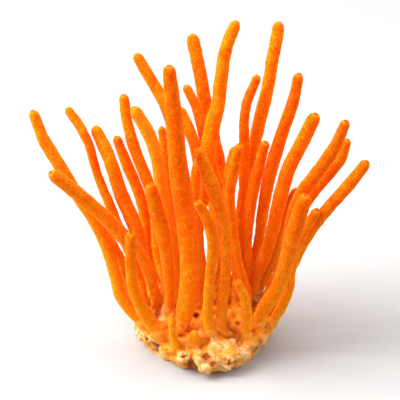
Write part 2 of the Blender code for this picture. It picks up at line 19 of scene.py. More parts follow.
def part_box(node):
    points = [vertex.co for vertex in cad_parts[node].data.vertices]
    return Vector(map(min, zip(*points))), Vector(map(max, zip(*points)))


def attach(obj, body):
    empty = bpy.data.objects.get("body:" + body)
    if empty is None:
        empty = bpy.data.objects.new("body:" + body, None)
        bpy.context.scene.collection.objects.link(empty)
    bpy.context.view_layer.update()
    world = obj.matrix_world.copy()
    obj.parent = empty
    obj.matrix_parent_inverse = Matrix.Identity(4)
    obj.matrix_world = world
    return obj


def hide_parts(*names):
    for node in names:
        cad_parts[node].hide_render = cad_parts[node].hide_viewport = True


bl_info = {
    "name": "Cordyceps bunch",
    "version": (1, 0, 0),
    "blender": (4, 5, 0),
    "location": "View3D > Sidebar > Cordyceps",
    "description": "Grows the clubs and the pad of a cordyceps bunch round its packed solids",
    "category": "Add Mesh",
}

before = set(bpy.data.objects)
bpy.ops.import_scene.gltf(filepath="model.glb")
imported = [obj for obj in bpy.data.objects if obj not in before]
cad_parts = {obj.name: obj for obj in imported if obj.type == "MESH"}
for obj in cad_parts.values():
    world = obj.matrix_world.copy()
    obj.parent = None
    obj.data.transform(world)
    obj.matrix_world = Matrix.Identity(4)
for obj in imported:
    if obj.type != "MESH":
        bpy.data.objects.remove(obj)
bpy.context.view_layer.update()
MM = 0.001

# ------------------------------------------------------------------ the view
VIEW_TILT = math.radians(30.0)
ACROSS = Vector((1.0, 0.0, 0.0))
UPWARDS = Vector((0.0, math.sin(VIEW_TILT), math.cos(VIEW_TILT)))
TO_VIEWER = Vector((0.0, -math.cos(VIEW_TILT), math.sin(VIEW_TILT)))
VIEW_MIDDLE_MM = (-1.25, 36.0)
VIEW_WIDTH = 0.100

# -------------------------------------------------- how the solids were made
SOLID_SIDES = 8
SOLID_ALLOWANCE = 1.04
SOLID_TIP_RINGS = 2
WELD_DISTANCE = 0.002 * MM

# ----------------------------------------------------------------- the clubs
CLUBS = sorted(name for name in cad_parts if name.startswith("club_"))
STUBS = "club_stub"
RING_SPACING_MM = 0.30
SIDE_WIDTH_MM = 0.27
TIP_STEPS = 14
# How long a rounded tip is, and how wide its last ring stays, as shares of its radius
TIP_LENGTH = 1.35
TIP_END = 0.02
# A dimple's width as a share of the tip's radius, and how steeply it falls off
DIMPLE_WIDTH = 0.30
DIMPLE_FALL = 1.6
# The low rim round a dimple: its height, its place and its width, as shares of the dimple
RIM_HEIGHT = 0.3
RIM_PLACE = 1.35
RIM_WIDTH = 0.45
# How long the swellings, dents and grains of a club's skin are
WOBBLE_SIZE = 3.2 * MM
DENT_SIZE = 1.1 * MM
GRAIN_SIZE = 0.35 * MM
# How rough a club's skin is, where it isn't 1
ROUGHER = {"club_middle_speckled": 1.8, "club_middle_thick": 0.9, "club_right_front": 1.2}
# How much stouter than its solid a club shows
STOUTER = {"club_middle_thick": 1.10, "club_stub_middle": 1.30}
# How much paler (above 0) or deeper (below 0) in colour than the rest a club is: partly its own
# tone, partly painted light and shade over the whole club, paler on some clubs that stand in the
# shade of others
PALER = {
    "club_left_outer": 0.5,
    "club_left_sweeping": 0.4,
    "club_left_low": 0.2,
    "club_left_front": -0.7,
    "club_left_broad": 0.5,
    "club_left_shaded": -1.4,
    "club_left_inner_front": -0.5,
    "club_left_inner": 1.1,
    "club_middle_thick": -1.4,
    "club_middle_small": -0.2,
    "club_middle_leaning": -0.2,
    "club_middle_tall_left": -0.7,
    "club_middle_tall_right": 0.3,
    "club_middle_front": -0.4,
    "club_middle_slim": -0.3,
    "club_middle_slanting": -0.3,
    "club_right_tall": 0.2,
    "club_right_thin": -0.8,
    "club_right_curved": -0.5,
    "club_right_broad": -0.1,
    "club_right_outer_upper": -1.0,
    "club_right_outer_behind": -0.3,
    "club_right_front": -1.0,
    "club_right_middle": -1.3,
    "club_right_hooked": 1.3,
    "club_stub_left": -0.4,
    "club_stub_middle": 0.6,
}

# ------------------------------------------------------------------- the pad
# Pits and folds: across, rise, half width, half height, depth
PITS_MM = (
    (-2.25, 7.25, 1.20, 0.90, 3.6),
    (-6.0, 2.25, 0.50, 0.35, 1.4),
    (2.75, 4.0, 0.40, 0.90, 2.0),
    (2.1, 7.2, 0.22, 0.80, 1.2),
    (3.4, 2.5, 0.30, 0.30, 1.0),
    (6.0, 10.25, 0.35, 0.50, 1.4),
    (8.25, 5.0, 1.00, 0.75, 1.6),
    (-7.6, 9.75, 0.40, 0.90, 1.6),
    (-6.75, 12.75, 0.45, 0.45, 1.4),
    (-12.1, 11.75, 0.30, 0.50, 1.2),
    (-4.25, 4.25, 0.35, 0.25, 0.9),
    (-5.2, -3.0, 1.20, 0.28, 0.8),
    (-4.3, -2.4, 0.28, 0.90, 0.8),
    (0.6, -2.8, 0.28, 0.90, 0.8),
    (2.5, -4.8, 0.45, 1.10, 1.0),
    (4.8, -3.8, 0.22, 0.60, 0.6),
    (-3.6, -4.4, 0.40, 1.20, 1.0),
    (12.4, -1.0, 0.60, 0.25, 0.4),
    (9.4, -4.0, 0.80, 0.25, 0.6),
    (-12.8, -0.2, 1.20, 0.28, 0.4),
    (-8.6, -2.6, 1.00, 0.25, 0.4),
)
# Lobes: across, rise, half width, half height
LOBES_MM = (
    (-14.4, 1.6, 2.2, 1.9),
    (-10.4, -1.2, 2.4, 1.7),
    (-6.2, -3.9, 2.1, 1.6),
    (-2.0, -3.8, 1.6, 1.8),
    (0.5, -5.8, 1.7, 1.6),
    (5.8, -4.6, 2.2, 1.9),
    (11.2, -2.6, 1.9, 1.5),
    (14.6, 1.0, 1.7, 1.6),
    (15.6, 4.6, 1.6, 2.0),
    (7.4, 1.2, 2.0, 1.5),
    (-12.0, 1.2, 1.5, 1.4),
    (-2.6, 2.2, 0.9, 0.8),
)
# Cream patches: across, rise, radius
CREAM_MM = (
    (7.2, 1.0, 1.5),
    (5.8, -3.4, 1.0),
    (-11.0, 0.6, 1.3),
    (-12.0, 6.8, 2.4),
    (-14.9, 12.5, 1.8),
    (-9.9, 9.5, 1.7),
    (-11.2, 15.8, 1.6),
    (-0.6, 16.8, 0.8),
    (12.5, 12.2, 2.6),
    (-15.5, 3.8, 1.4),
    (-1.4, 3.0, 0.6),
    (2.2, 0.6, 1.6),
    (4.4, -0.4, 1.6),
    (-11.2, 6.4, 1.4),
    (-10.0, 3.2, 0.9),
    (9.5, -0.2, 1.2),
    (-0.7, 2.8, 0.5),
    (-13.7, 12.2, 1.0),
)
# Bright orange patches: across, rise, radius
ORANGE_MM = (
    (13.0, 0.5, 1.0),
    (12.4, -0.8, 0.7),
    (10.6, -1.2, 0.8),
    (15.6, 3.0, 0.9),
    (7.6, -2.0, 0.8),
    (9.0, 0.6, 0.8),
    (2.0, -4.4, 0.8),
    (-14.8, 2.0, 1.0),
    (-8.1, 6.4, 1.3),
    (-10.2, -1.2, 1.5),
    (-2.6, 2.2, 1.0),
    (-14.9, 0.2, 1.3),
    (-6.0, -5.2, 1.0),
    (5.0, -3.9, 1.0),
    (11.0, 5.0, 2.0),
)
# How far behind what the viewer sees a pit still presses
PIT_REACH_MM = 2.5
# How far in front of and behind the view plane hidden places are looked for
SEARCH_MM = 30
# Lobes and root lumps stand out by this share of their height
LUMP_RISE = 0.55
LUMP_WIDTH = 1.3
CRUMBS = 260
CRUMB_SEED = 5
# The smallest crumb, and how much larger the largest is
CRUMB_MM = (0.45, 1.6)
CRUMB_RISE = 0.6
# How far crumbs stand out at most, above and below the pad's shoulder
CRUMB_TOP_MM = (1.4, 0.35)
CRUMB_START_MM = 2.0
CRUMB_LEAN = 0.25
CRUMB_REACH = 0.06
# Crumbs stay this far above the cut, and this share of their size away from a club
CRUMB_LOWEST_MM = 0.8
CRUMB_CLEARANCE = 0.3
PAD_SHOULDER_MM = 9.0
# How far a collar runs up a club, and how much wider than the club it starts
COLLAR_MM = (3.2, 0.55)
STUB_COLLAR_MM = (0.6, 0.25)
# A stub has no dimple: its tip is coloured as if it lay this much further from its end
STUB_TIP_MM = 3.0
COLLAR_TOP = 0.80
COLLAR_SIDES = 24
ROOT_LUMPS = 4
# The smallest root lump and how much larger the largest is, in mm
ROOT_LUMP_MM = (0.5, 0.8)
# How far from a club's middle line its root lumps stand, as shares of its radius
ROOT_LUMP_AWAY = (0.9, 0.5)
LUMP_DETAIL = 2
SOCKET_GAP_MM = 0.45
FOOT_BELOW_MM = 0.9
CLUBS_MATTER_BELOW_MM = 30.0
# The relief rises from the cut over this height, and is weaker close to a club
RELIEF_START_MM = 0.5
RELIEF_AT_CLUB = 0.45
RELIEF_NEAR_MM = (0.2, 0.9)
SOFTEN_ROUNDS = 4
# The pad's relief: pattern, its size, and its height as a share of folds or crust
FOLD_LAYERS = (("CLOUDS", 3.0 * MM, 1.0), ("VORONOI", 4.4 * MM, -2.8), ("VORONOI", 1.8 * MM, -0.6))
CRUST_LAYERS = (("CLOUDS", 0.9 * MM, 2.0), ("CLOUDS", 0.4 * MM, 1.0))
# What makes the cells of the relief round domes with creases between them
DOMES = {"middle": 0.15, "distance_metric": "DISTANCE_SQUARED"}
# How many rounds of smoothing tell the small hollows and the wide creases
HOLLOW_ROUNDS = 12
CREASE_ROUNDS = 60
CRUSTY = "crusty"
WEIGHT_STEPS = 10


# -------------------------------------------- what is the same all over a surface
VELVET = {
    "Sheen_Weight": 0.40,
    "Sheen_Roughness": 0.3,
    "Sheen_Tint": (1.0, 0.58, 0.16),
    "Subsurface_Weight": 0.12,
    "Subsurface_Radius": (1.0, 0.18, 0.03),
    "Subsurface_Scale": 1.0 * MM,
    "Specular_IOR_Level": 0.0,
}
CRUMBLY = {
    "Sheen_Weight": 0.05,
    "Sheen_Roughness": 0.5,
    "Sheen_Tint": (1.0, 0.70, 0.35),
    "Subsurface_Weight": 0.10,
    "Subsurface_Radius": (1.0, 0.35, 0.10),
    "Subsurface_Scale": 0.8 * MM,
    "Specular_IOR_Level": 0.10,
    "Specular_Tint": (1.0, 0.75, 0.45),
}
GRAIN_BUMP_MM = 0.10
FUZZ_BUMP_MM = 0.22
CRUMB_BUMP_MM = 0.12
CRUST_BUMP_MM = 0.30

# ------------------------------------------------------------------- the stage
FLOOR_SIDES = 96
FLOOR_RADIUS = 3.0
FLOOR_CLOUD_MM = 60.0
FLOOR_SHADE = 0.98
FLOOR_ROUGHNESS = 0.9
# Each light's name, place, width and height, and the setting that holds its power
LIGHTS = (
    ("light_left", (-0.28, 0.00, 0.28), (0.25, 0.35), "left_power"),
    ("light_right", (0.34, 0.10, 0.16), (0.25, 0.35), "right_power"),
    ("light_top", (0.0, 0.12, 0.42), (0.35, 0.35), "top_power"),
)
LIGHT_AIM = Vector((0.0, 8.0, 30.0)) * MM
WHITE = (1.0, 1.0, 1.0, 1.0)
SENSOR_WIDTH_MM = 36.0
# How far the camera sees, in distances to the bunch
SIGHT = 3.0


# ------------------------------------------------------------ what can be set
class ClubLook(PropertyGroup):
    """Sizes and colours of the clubs."""

    wobble: FloatProperty(
        name="Wobble", description="How far a club swells and thins along its length",
        default=0.30 * MM, unit="LENGTH", precision=5)
    dents: FloatProperty(
        name="Dents", description="Depth of the shallow dents in a club's skin",
        default=0.18 * MM, unit="LENGTH", precision=5)
    grain: FloatProperty(
        name="Grain", description="Height of the fine grains on a club's skin",
        default=0.09 * MM, unit="LENGTH", precision=5)
    dimple: FloatProperty(
        name="Dimple", description="Depth of the dimple in a tip, as a share of its radius",
        default=0.13, subtype="FACTOR")
    flesh: FloatVectorProperty(
        name="Flesh", description="The clubs' main orange",
        default=(0.91, 0.165, 0.0008), subtype="COLOR", min=0.0, max=1.0)
    # Also laid over the tips as painted shade
    deep: FloatVectorProperty(
        name="Deep patches", description="The redder orange of the deeper clubs and freckles",
        default=(0.89, 0.070, 0.0004), subtype="COLOR", min=0.0, max=1.0)
    sunny: FloatVectorProperty(
        name="Sunny patches", description="The lighter orange that is mottled over it",
        default=(0.94, 0.230, 0.002), subtype="COLOR", min=0.0, max=1.0)
    fuzz: FloatVectorProperty(
        name="Fuzz", description="The pale velvet on grains, streaks and edges",
        default=(0.98, 0.38, 0.02), subtype="COLOR", min=0.0, max=1.0)
    hole: FloatVectorProperty(
        name="Dimples", description="The dark dot in a tip's dimple",
        default=(0.45, 0.04, 0.001), subtype="COLOR", min=0.0, max=1.0)


class PadLook(PropertyGroup):
    """Sizes and colours of the pad."""

    voxel: FloatProperty(
        name="Grid", description="Spacing of the grid that melts the pad together",
        default=0.27 * MM, unit="LENGTH", precision=5)
    folds: FloatProperty(
        name="Folds", description="Height of the pad's rounded folds",
        default=0.90 * MM, unit="LENGTH", precision=5)
    crust: FloatProperty(
        name="Crust", description="Height of the pad's fine crust",
        default=0.20 * MM, unit="LENGTH", precision=5)
    cream: FloatVectorProperty(
        name="Cream", description="The pad's palest raised parts",
        default=(0.84, 0.47, 0.16), subtype="COLOR", min=0.0, max=1.0)
    tan: FloatVectorProperty(
        name="Tan", description="The pad's lower sides",
        default=(0.74, 0.30, 0.07), subtype="COLOR", min=0.0, max=1.0)
    # Also laid as painted shade in the pad's hollows
    orange: FloatVectorProperty(
        name="Orange", description="The orange of the pad's upper side",
        default=(0.94, 0.285, 0.006), subtype="COLOR", min=0.0, max=1.0)
    # Also laid as a painted highlight on what stands out of the pad
    pale: FloatVectorProperty(
        name="Pale flecks", description="The palest flecks and streaks",
        default=(0.92, 0.64, 0.30), subtype="COLOR", min=0.0, max=1.0)
    glow: FloatVectorProperty(
        name="Light orange", description="The lighter flecks in the orange",
        default=(0.96, 0.46, 0.035), subtype="COLOR", min=0.0, max=1.0)
    # Painted shade: the colour laid into the creases and the deepest hollows
    crease: FloatVectorProperty(
        name="Creases", description="The deep orange in the creases between lumps",
        default=(0.68, 0.135, 0.008), subtype="COLOR", min=0.0, max=1.0)
    # Painted shade: the colour laid into the deepest pits
    pit: FloatVectorProperty(
        name="Pits", description="The dark red of the deepest pits",
        default=(0.16, 0.010, 0.001), subtype="COLOR", min=0.0, max=1.0)


class StageLook(PropertyGroup):
    """The floor, the lights and the camera."""

    lens: FloatProperty(
        name="Lens", description="Focal length of the camera, in millimetres",
        default=1000.0, min=50.0)
    left_power: FloatProperty(
        name="Left light", description="Power of the light on the left, in watts",
        default=3.10)
    right_power: FloatProperty(
        name="Right light", description="Power of the light on the right, in watts",
        default=0.6)
    top_power: FloatProperty(
        name="Top light", description="Power of the light above the bunch, in watts",
        default=1.38)
    ambience: FloatProperty(
        name="Ambience", description="Brightness of the white surroundings",
        default=0.70)
    floor: FloatVectorProperty(
        name="Floor", description="The floor's colour",
        default=(0.44, 0.44, 0.44), subtype="COLOR", min=0.0, max=1.0)


# ---------------------------------------------------------------- shader maths
class Value:
    """A socket of a material, so that shader maths reads like any other maths."""

    def __init__(self, finish, socket):
        self.finish = finish
        self.socket = socket

    def maths(self, operation, *values):
        return self.finish.node("ShaderNodeMath", {"operation": operation}, dict(enumerate(values)))

    def __add__(self, other):
        return self.maths("ADD", self, other)

    def __sub__(self, other):
        return self.maths("SUBTRACT", self, other)

    def __rsub__(self, other):
        return self.maths("SUBTRACT", other, self)

    def __mul__(self, other):
        return self.maths("MULTIPLY", self, other)

    __radd__ = __add__
    __rmul__ = __mul__

    def larger(self, other):
        return self.maths("MAXIMUM", self, other)

    def ridges(self):
        """1 along the lines where noise is midway, falling to 0 on both sides."""
        return 1.0 - self.maths("ABSOLUTE", self * 2.0 - 1.0)

    def step(self, low, high):
        """0 below low, 1 above high and smooth in between."""
        inputs = {"Value": self, "From Min": low, "From Max": high}
        return self.finish.node("ShaderNodeMapRange", {"interpolation_type": "SMOOTHSTEP"}, inputs)


class Finish:
    """A material and the nodes that make it."""

    def __init__(self, name):
        self.material = bpy.data.materials.new(name)
        self.material.use_nodes = True
        self.tree = self.material.node_tree
        self.surface = self.tree.nodes["Principled BSDF"]
        place = self.node("ShaderNodeTexCoord", output="Object")
        self.place_mm = self.node(
            "ShaderNodeVectorMath", {"operation": "SCALE"}, {0: place, "Scale": 1.0 / MM})

    def node(self, kind, settings=(), inputs=(), output=0):
        """Add a node: its settings first, then the values or links of its sockets."""
        node = self.tree.nodes.new(kind)
        for name, setting in dict(settings).items():
            setattr(node, name, setting)
        for name, value in dict(inputs).items():
            self.feed(node.inputs[name], value)
        return Value(self, node.outputs[output])

    def feed(self, socket, value):
        """Link a socket, or set it."""
        if isinstance(value, Value):
            self.tree.links.new(value.socket, socket)
        elif isinstance(socket, bpy.types.NodeSocketColor):
            socket.default_value = (*value, 1.0)
        else:
            socket.default_value = value

    def surface_is(self, **sockets):
        """Set or link the surface's own sockets, with _ for a space."""
        for name, value in sockets.items():
            self.feed(self.surface.inputs[name.replace("_", " ")], value)

    def attribute(self, name):
        return self.node("ShaderNodeAttribute", {"attribute_name": name}, output="Fac")

    def noise(self, size_mm, detail=2.0, roughness=0.5, stretch=(1.0, 1.0, 1.0)):
        """Soft noise whose blotches are about size_mm across."""
        place = self.node("ShaderNodeMapping", inputs={"Vector": self.place_mm, "Scale": stretch})
        inputs = {
            "Vector": place, "Scale": 1.0 / size_mm, "Detail": detail, "Roughness": roughness}
        return self.node("ShaderNodeTexNoise", inputs=inputs)

    def cells(self, size_mm):
        """Distance from the middles of cells about size_mm apart."""
        inputs = {"Vector": self.place_mm, "Scale": 1.0 / size_mm}
        return self.node("ShaderNodeTexVoronoi", inputs=inputs)

    def mix(self, share, first, second):
        """From the first colour to the second as share goes from 0 to 1."""
        inputs = {0: share, 6: first, 7: second}
        return self.node("ShaderNodeMix", {"data_type": "RGBA"}, inputs, output=2)

    def bump(self, height_mm, depth_mm, below=None):
        """A bump of that depth, on top of the one below it."""
        inputs = {"Height": height_mm, "Distance": depth_mm * MM, "Strength": 1.0}
        if below:
            inputs["Normal"] = below
        return self.node("ShaderNodeBump", inputs=inputs)


def club_finish(look):
    """Velvety orange skin: mottled, with pale grains, paler at the foot and round the tip's dimple,
    and with painted shade deepening the tip.
    """
    finish = Finish("club_skin")
    foot = finish.attribute("from_foot_mm")
    tip = finish.attribute("from_tip_mm")
    rough = finish.attribute("rough")
    paler = finish.attribute("paler")
    blotches = finish.noise(3.0, 3.0)
    freckles = finish.noise(0.42, 2.0, 0.6)
    grains = 1.0 - finish.cells(0.50).step(0.10, 0.45)
    patches = finish.noise(1.8, 1.0).step(0.40, 0.60)
    streaks = finish.noise(0.8, 3.0, 0.6, stretch=(1.0, 1.0, 0.35))
    # Where the clubs are paler or deeper; each whole club's paleness is partly painted light and
    # shade
    low = 1.0 - (foot + streaks * 8.0).step(10.0, 48.0)
    pale = (blotches + paler * 0.20).step(0.34, 0.72)
    crown = tip.step(2.0, 6.0) * (1.0 - tip.step(14.0, 34.0))
    deep = 1.0 - (blotches + paler * 0.20 - crown * 0.06).step(0.25, 0.55)
    dark = (deep * 0.9).larger((1.0 - freckles.step(0.36, 0.52)) * 0.8)
    # The orange itself, with each whole club's paleness partly painted light and shade, and the tip
    # deepened as painted shade
    colour = finish.mix(pale * 0.55, look.flesh, look.sunny)
    colour = finish.mix(dark * 0.85, colour, look.deep)
    colour = finish.mix(low * 0.8, colour, look.sunny)
    colour = finish.mix(paler.step(0.2, 1.2) * 0.35, colour, look.fuzz)
    # Painted shade: the last few millimetres of each tip are mixed toward the deep orange,
    # darkening the strong light that falls on the tips
    colour = finish.mix((1.0 - tip.step(1.0, 5.0)) * 0.40, colour, look.deep)
    # Pale velvet on freckles, grains and streaks, and round the foot
    colour = finish.mix(freckles.step(0.52, 0.68) * rough * 0.35, colour, look.fuzz)
    colour = finish.mix(grains * patches * rough * 0.30, colour, look.fuzz)
    veins = streaks.ridges().step(0.90, 0.98) * patches
    colour = finish.mix(veins * (low + 0.35) * 0.6, colour, look.fuzz)
    base = (1.0 - (foot + blotches * 5.0).step(6.0, 12.0)) * streaks.step(0.38, 0.60)
    colour = finish.mix(base * 0.55, colour, look.fuzz)
    # The dimple in the tip
    rim = tip.step(0.55, 0.80) * (1.0 - tip.step(0.90, 1.40))
    colour = finish.mix(rim * 0.3, colour, look.fuzz)
    colour = finish.mix((1.0 - tip.step(0.36, 0.68)) * 0.65, colour, look.hole)
    grain_bump = finish.bump(grains * rough, GRAIN_BUMP_MM)
    fuzz = finish.bump(freckles, FUZZ_BUMP_MM, grain_bump)
    finish.surface_is(
        Base_Color=colour, Roughness=finish.noise(0.9) * 0.2 + 0.65, Normal=fuzz, **VELVET)
    return finish.material


def pad_finish(look):
    """Orange above, cream and tan below, with crumbs and streaks, and painted light and shade: pale
    highlights on what stands out, deeper orange in hollows and creases, and dark red in the pits.
    """
    finish = Finish("pad_crust")
    height = finish.node("ShaderNodeSeparateXYZ", inputs={0: finish.place_mm}, output=2)
    hollow = finish.attribute("hollow_mm")
    depth = finish.attribute("depth_mm")
    from_club = finish.attribute("from_club_mm")
    crease = finish.attribute("crease_mm")
    large = finish.noise(3.6, 3.0)
    small = finish.noise(0.9, 3.0)
    fine = finish.noise(0.45, 3.0, 0.7)
    streaks = finish.noise(1.1, 3.0, 0.7, stretch=(1.0, 1.0, 0.45)).ridges()
    # Cream and tan below, orange above and near the clubs
    colour = finish.mix(small.step(0.38, 0.60), look.tan, look.cream)
    colour = finish.mix((1.0 - (height + large * 5.0).step(4.0, 8.0)) * 0.5, colour, look.tan)
    upper = (height + large * 9.0).step(8.0, 12.0)
    near = 1.0 - (from_club + large * 2.0).step(1.2, 3.2)
    spots = (large + small * 0.35).step(0.66, 0.76)
    warm = upper.larger(near).larger(spots).larger(finish.attribute("orange"))
    warm = warm * (1.0 - finish.attribute("cream") * small.step(0.25, 0.50))
    colour = finish.mix(warm * (small.step(0.22, 0.45) * 0.25 + 0.75), colour, look.orange)
    # Painted light and shade from the surface's shape: a pale painted highlight on what stands out,
    # painted shade of deep orange in the hollows, darker still in the creases
    plain = 1.0 - warm * 0.9
    raised = (hollow * -1.0 + fine * 0.10).step(0.06, 0.20)
    colour = finish.mix(raised * plain * 0.7, colour, look.pale)
    colour = finish.mix((hollow + fine * 0.10).step(0.08, 0.20) * 0.6, colour, look.orange)
    colour = finish.mix((crease + fine * 0.3).step(0.30, 0.70) * 0.55, colour, look.crease)
    colour = finish.mix((hollow + fine * 0.1).step(0.20, 0.40) * 0.6, colour, look.crease)
    # Fine streaks and flecks, and over everything the pits darkened to dark red as painted shade
    colour = finish.mix(streaks.step(0.90, 0.98) * plain * 0.6, colour, look.pale)
    colour = finish.mix(fine.step(0.56, 0.64) * plain * 0.6, colour, look.pale)
    colour = finish.mix(fine.step(0.54, 0.64) * warm * 0.5, colour, look.glow)
    colour = finish.mix((1.0 - fine.step(0.36, 0.46)) * 0.45, colour, look.orange)
    colour = finish.mix(depth.step(0.5, 2.4), colour, look.pit)
    crumbs = finish.bump(finish.cells(0.55), CRUMB_BUMP_MM)
    crust = finish.bump(fine, CRUST_BUMP_MM, crumbs)
    finish.surface_is(
        Base_Color=colour, Roughness=small * 0.2 + 0.6, Normal=crust, **CRUMBLY)
    return finish.material


def floor_finish(look):
    """Plain pale matt floor."""
    finish = Finish("pale_floor")
    cloud = finish.noise(FLOOR_CLOUD_MM, 1.0)
    shade = tuple(FLOOR_SHADE * part for part in look.floor)
    colour = finish.mix(cloud, shade, tuple(look.floor))
    finish.surface_is(Base_Color=colour, Roughness=FLOOR_ROUGHNESS)
    return finish.material


# ------------------------------------------------------------- modelling tools
def pick(*pieces):
    """Select only these, with the first one active."""
    bpy.ops.object.select_all(action="DESELECT")
    for piece in pieces:
        piece.select_set(True)
    if pieces:
        bpy.context.view_layer.objects.active = pieces[0]


def corners(mesh):
    """The places of a mesh's corners, one row each."""
    places = np.empty(len(mesh.vertices) * 3)
    mesh.vertices.foreach_get("co", places)
    return places.reshape(-1, 3)


def move_corners(mesh, places):
    mesh.vertices.foreach_set("co", np.asarray(places, dtype=np.float32).ravel())
    mesh.update()


def store(mesh, name, values):
    """Keep one number for each corner, for the material to read."""
    kept = mesh.attributes.new(name, "FLOAT", "POINT")
    kept.data.foreach_set("value", np.asarray(values, dtype=np.float32))


def welded(node):
    """A CAD node's mesh as a bmesh with its loose triangles joined."""
    shape = bmesh.new()
    shape.from_mesh(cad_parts[node].data)
    bmesh.ops.remove_doubles(shape, verts=shape.verts, dist=WELD_DISTANCE)
    return shape


def middle_line(node):
    """A club's middle line from its foot up, read from its solid: x, y, z and radius in mm."""
    shape = welded(node)
    shape.verts.ensure_lookup_table()
    places = np.array([vert.co for vert in shape.verts]) / MM
    apart = np.linalg.norm(places[:, None] - places[None], axis=2)
    smallest = np.sort(apart, axis=1)[:, SOLID_SIDES - 1].argmin()
    ring = set(np.argsort(apart[smallest])[:SOLID_SIDES].tolist())
    seen = set(ring)
    rings = []
    while ring:
        around = places[sorted(ring)]
        centre = around.mean(axis=0)
        radius = np.linalg.norm(around - centre, axis=1).mean() / SOLID_ALLOWANCE
        rings.append([*centre, radius])
        near = {edge.other_vert(shape.verts[index]).index
                for index in ring for edge in shape.verts[index].link_edges}
        ring = near - seen
        seen |= ring
    shape.free()
    return np.array(rings[:SOLID_TIP_RINGS - 1:-1])


def smooth_line(rows, spacing_mm):
    """A smooth curve through rows, read off at an even spacing."""
    lengths = np.linalg.norm(np.diff(rows[:, :3], axis=0), axis=1)
    places = np.concatenate([[0.0], np.cumsum(lengths)])
    slopes = np.gradient(rows, places, axis=0)
    wanted = np.linspace(0.0, places[-1], max(4, round(places[-1] / spacing_mm)))
    start = np.clip(np.searchsorted(places, wanted, side="right") - 1, 0, len(places) - 2)
    width = (places[start + 1] - places[start])[:, None]
    share = (wanted - places[start])[:, None] / width
    first = rows[start] * (1.0 + 2.0 * share) + slopes[start] * width * share
    second = rows[start + 1] * (3.0 - 2.0 * share) - slopes[start + 1] * width * (1.0 - share)
    return first * (1.0 - share) ** 2 + second * share ** 2


def heading_of(line, end):
    """The direction in which a line leaves its first or last row."""
    away = line[0, :3] - line[1, :3] if end == "foot" else line[-1, :3] - line[-2, :3]
    return away / np.linalg.norm(away)


def tube(name, line, sides):
    """A closed round tube: a path with a bevel, turned into a mesh."""
    pick()
    bpy.ops.curve.primitive_nurbs_path_add()
    path = bpy.context.active_object
    path.name = name
    curve = path.data
    curve.splines.clear()
    curve.bevel_depth = MM
    curve.bevel_resolution = (sides - 4) // 2
    spline = curve.splines.new("POLY")
    spline.points.add(len(line) - 1)
    places = np.column_stack([line[:, :3] * MM, np.ones(len(line))])
    spline.points.foreach_set("co", places.ravel())
    spline.points.foreach_set("radius", line[:, 3])
    bpy.ops.object.convert(target="MESH")
    bpy.ops.object.mode_set(mode="EDIT")
    bpy.ops.mesh.select_all(action="SELECT")
    bpy.ops.mesh.fill_holes(sides=0)
    bpy.ops.mesh.normals_make_consistent(inside=False)
    bpy.ops.object.mode_set(mode="OBJECT")
    return bpy.context.active_object


def weigh(piece, name, shares):
    """Give a piece a group of corners, each with its own share."""
    group = piece.vertex_groups.new(name=name)
    steps = np.round(shares * WEIGHT_STEPS)
    for step in range(WEIGHT_STEPS + 1):
        group.add(np.flatnonzero(steps == step).tolist(), step / WEIGHT_STEPS, "REPLACE")


def push_out(piece, pattern, size, height, group="", middle=0.5, **settings):
    """Raise a piece's surface by a texture, about its middle level, and keep the result."""
    texture = bpy.data.textures.new(pattern.lower(), pattern)
    texture.noise_scale = size
    for name, setting in settings.items():
        setattr(texture, name, setting)
    raised = piece.modifiers.new("raised", "DISPLACE")
    raised.texture = texture
    raised.texture_coords = "LOCAL"
    raised.strength = height
    raised.mid_level = middle
    raised.vertex_group = group
    pick(piece)
    bpy.ops.object.modifier_apply(modifier=raised.name)


def on_view_plane(across_mm, rise_mm):
    """The point of the view plane through the origin at that place."""
    return (across_mm * ACROSS + rise_mm * UPWARDS) * MM


def on_surface(tree, across_mm, rise_mm):
    """What the viewer sees of a surface at that place, or what lies nearest to it."""
    start = on_view_plane(across_mm, rise_mm) + TO_VIEWER
    place, normal, _, _ = tree.ray_cast(start, -TO_VIEWER)
    if place is None:
        sights = [start - TO_VIEWER * (1.0 + step * MM) for step in range(-SEARCH_MM, SEARCH_MM)]
        nearest = (tree.find_nearest(sight) for sight in sights)
        place, normal, _, _ = min(nearest, key=lambda hit: hit[3])
    return place, normal


def wear(piece, node):
    """A finished piece rides on the bunch and stands for its solid."""
    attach(piece, "root")
    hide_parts(node)


# ------------------------------------------------------------------- the clubs
def club_line(node):
    """A club's dense middle line with a rounded tip, and how far up it each ring is."""
    line = smooth_line(middle_line(node), RING_SPACING_MM)
    heading = heading_of(line, "tip")
    radius = line[-1, 3]
    end = line[-1, :3] + radius * heading
    line = line[:-max(1, round((TIP_LENGTH - 1.0) * radius / RING_SPACING_MM))]
    length = np.linalg.norm(end - line[-1, :3])
    turns = np.linspace(0.0, 0.5 * math.pi, TIP_STEPS + 1)[1:]
    places = line[-1, :3] + np.outer(np.sin(turns), end - line[-1, :3])
    tip = np.column_stack([places, np.cos(turns).clip(TIP_END) * line[-1, 3]])
    line = np.vstack([line, tip])
    steps = np.linalg.norm(np.diff(line[:, :3], axis=0), axis=1)
    return line, np.concatenate([[0.0], np.cumsum(steps)])


def press_dimple(club, line, share):
    """Press the small dimple into a club's tip."""
    radius = line[-TIP_STEPS - 1, 3]
    places = corners(club.data)
    away = np.linalg.norm(places - line[-1, :3] * MM, axis=1) / (DIMPLE_WIDTH * radius * MM)
    dip = share * radius * MM * np.exp(-away ** 2 * DIMPLE_FALL)
    rim = RIM_HEIGHT * share * radius * MM * np.exp(-((away - RIM_PLACE) / RIM_WIDTH) ** 2)
    move_corners(club.data, places + np.outer(rim - dip, heading_of(line[:-TIP_STEPS], "tip")))


